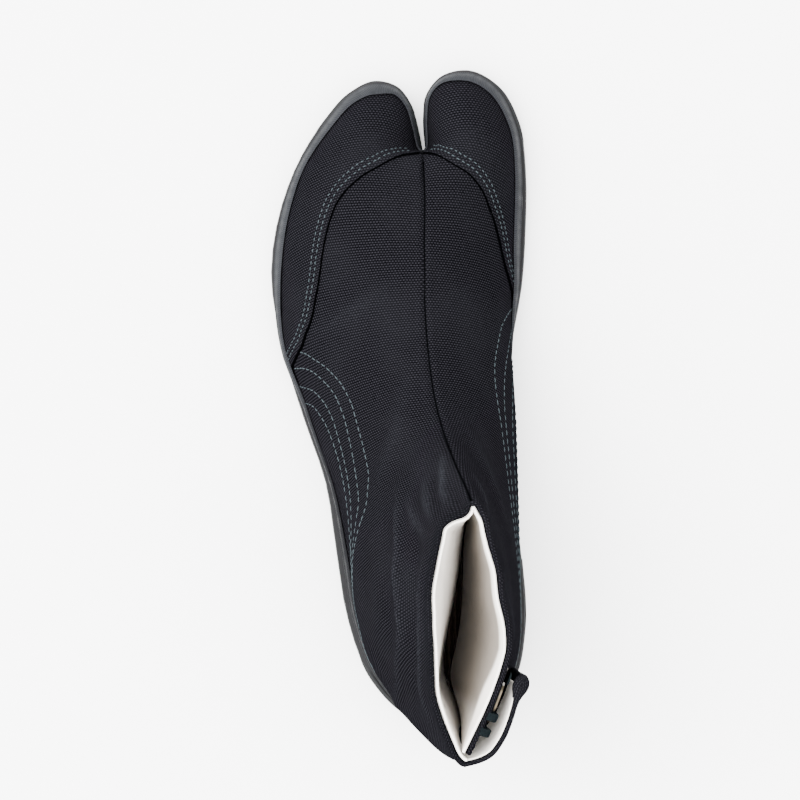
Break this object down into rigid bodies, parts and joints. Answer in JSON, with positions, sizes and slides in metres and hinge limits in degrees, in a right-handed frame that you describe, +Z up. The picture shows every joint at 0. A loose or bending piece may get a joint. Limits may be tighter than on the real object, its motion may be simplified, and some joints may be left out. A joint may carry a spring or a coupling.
{
  "type": "split-toe ankle shoe",
  "caption": "Canvas ankle shoe with a split toe, a rubber sole with a low heel, canvas toe guards and a hooked flap at the inner heel; left foot.",
  "frame": {"origin": "centre of the footprint box, on the floor under the sole", "axes": "+Y towards the toes, +X towards the inner side of the foot, +Z up"},
  "size_m": [0.1055, 0.2659, 0.127],
  "materials": {
    "canvas": "coarse matt cotton weave, blue-black",
    "outsole_rubber": "black, dull with a soft sheen",
    "foxing_rubber": "dark grey, fine texture",
    "insole_cloth": "ribbed, dark brown",
    "clasp_metal": "plain, slightly dulled"
  },
  "bodies": {
    "root": {"upper": "canvas", "toe_guard_outer": "canvas", "toe_guard_inner": "canvas", "closure_flap": "canvas", "clasp_1": "clasp_metal", "clasp_2": "clasp_metal", "clasp_3": "clasp_metal", "outsole": "outsole_rubber", "heel": "outsole_rubber", "heel_bumper": "outsole_rubber", "toe_bumper_small": "outsole_rubber", "toe_bumper_big": "outsole_rubber", "foxing": "foxing_rubber", "insole": "insole_cloth"}
  },
  "joints": []
}
